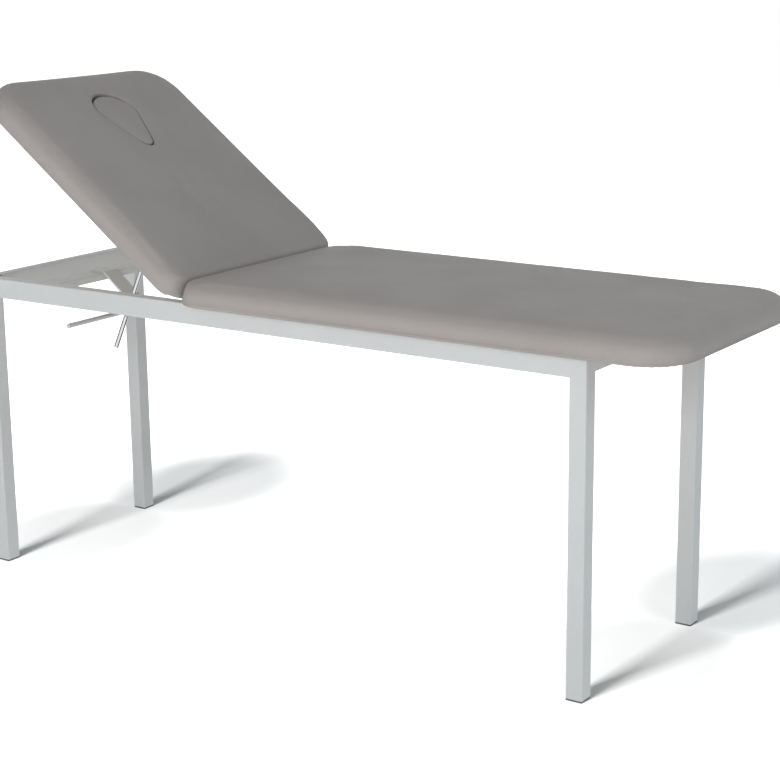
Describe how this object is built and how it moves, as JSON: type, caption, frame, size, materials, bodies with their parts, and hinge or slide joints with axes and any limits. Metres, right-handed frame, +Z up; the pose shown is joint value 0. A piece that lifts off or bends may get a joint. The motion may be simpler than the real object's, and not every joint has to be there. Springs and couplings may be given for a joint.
{
  "type": "examination_table",
  "caption": "Two-section examination table: fixed seat, hinged backrest with face hole and plug, square tube frame, rod and friction lock",
  "frame": {"origin": "On the floor, below the middle of the table's overall length and width", "axes": "+X towards the foot end, +Y towards the far long side, away from the release lever, +Z up"},
  "size_m": [1.934, 0.622, 1.2338],
  "materials": {
    "frame_paint": "light grey powder coat, low gloss",
    "foot_plastic": "dark grey moulded plastic",
    "vinyl": "warm grey artificial leather over foam, fine grain",
    "board_wood": "plain plywood, unpainted",
    "rod_chrome": "bright chrome plate",
    "zinc_steel": "zinc plated steel, dull"
  },
  "bodies": {
    "frame": {"near_rail": "frame_paint", "far_rail": "frame_paint", "head_rail": "frame_paint", "foot_rail": "frame_paint", "hinge_rail": "frame_paint", "lock_cross_bar": "frame_paint", "leg_top_plugs": "foot_plastic", "near_head_leg": "frame_paint", "far_head_leg": "frame_paint", "near_foot_leg": "frame_paint", "far_foot_leg": "frame_paint", "near_head_foot_cap": "foot_plastic", "far_head_foot_cap": "foot_plastic", "near_foot_foot_cap": "foot_plastic", "far_foot_foot_cap": "foot_plastic", "board_tabs": "frame_paint", "board_tab_screws": "zinc_steel", "seat_board": "board_wood", "seat_cushion": "vinyl", "near_hinge_seat_leaf": "zinc_steel", "far_hinge_seat_leaf": "zinc_steel", "seat_leaf_screws": "zinc_steel", "near_hinge_pin": "zinc_steel", "far_hinge_pin": "zinc_steel", "lock_bracket": "frame_paint", "lock_housing": "frame_paint", "lever_pin": "zinc_steel", "locking_plate_pin": "zinc_steel", "lock_spring": "zinc_steel"},
    "backrest": {"near_hinge_back_leaf": "zinc_steel", "far_hinge_back_leaf": "zinc_steel", "back_leaf_screws": "zinc_steel", "backrest_board": "board_wood", "backrest_cushion": "vinyl", "near_slide_bracket": "zinc_steel", "far_slide_bracket": "zinc_steel", "slide_bracket_screws": "zinc_steel"},
    "face_plug": {"face_plug_board": "board_wood", "face_plug_cushion": "vinyl"},
    "rod": {"support_rod": "rod_chrome", "eye_pin": "zinc_steel", "eye_pin_clip": "zinc_steel"},
    "lever": {"release_lever": "frame_paint"},
    "plate": {"locking_plate": "zinc_steel"}
  },
  "joints": [
    {"name": "backrest_hinge", "type": "hinge", "parent": "frame", "child": "backrest", "pos_m": [-0.304, 0, 0.7485], "axis": [0, 1, 0], "range_deg": [-36.8, 3.2]},
    {"name": "rod_slide", "type": "slide", "parent": "frame", "child": "rod", "axis": [0.421, 0, 0.907], "range_m": [-0.2313, 0.0202]},
    {"name": "face_plug_lift", "type": "slide", "parent": "backrest", "child": "face_plug", "axis": [0.599, 0, 0.8007], "range_m": [0, 0.08]},
    {"name": "lever_hinge", "type": "hinge", "parent": "frame", "child": "lever", "pos_m": [-0.73035, 0.015, 0.63905], "axis": [-0.907, 0, 0.421], "range_deg": [0, 7], "stiffness_Nm_per_rad": 1.5, "springref_deg": -17.19},
    {"name": "plate_hinge", "type": "hinge", "parent": "frame", "child": "plate", "pos_m": [-0.72647, 0.015, 0.6474], "axis": [-0.907, 0, 0.421], "range_deg": [0, 7]}
  ],
  "couplings": [
    {"joint": "rod_slide", "follows": "backrest_hinge", "m_per_rad": 0.35995},
    {"joint": "plate_hinge", "follows": "lever_hinge", "ratio": 1}
  ]
}
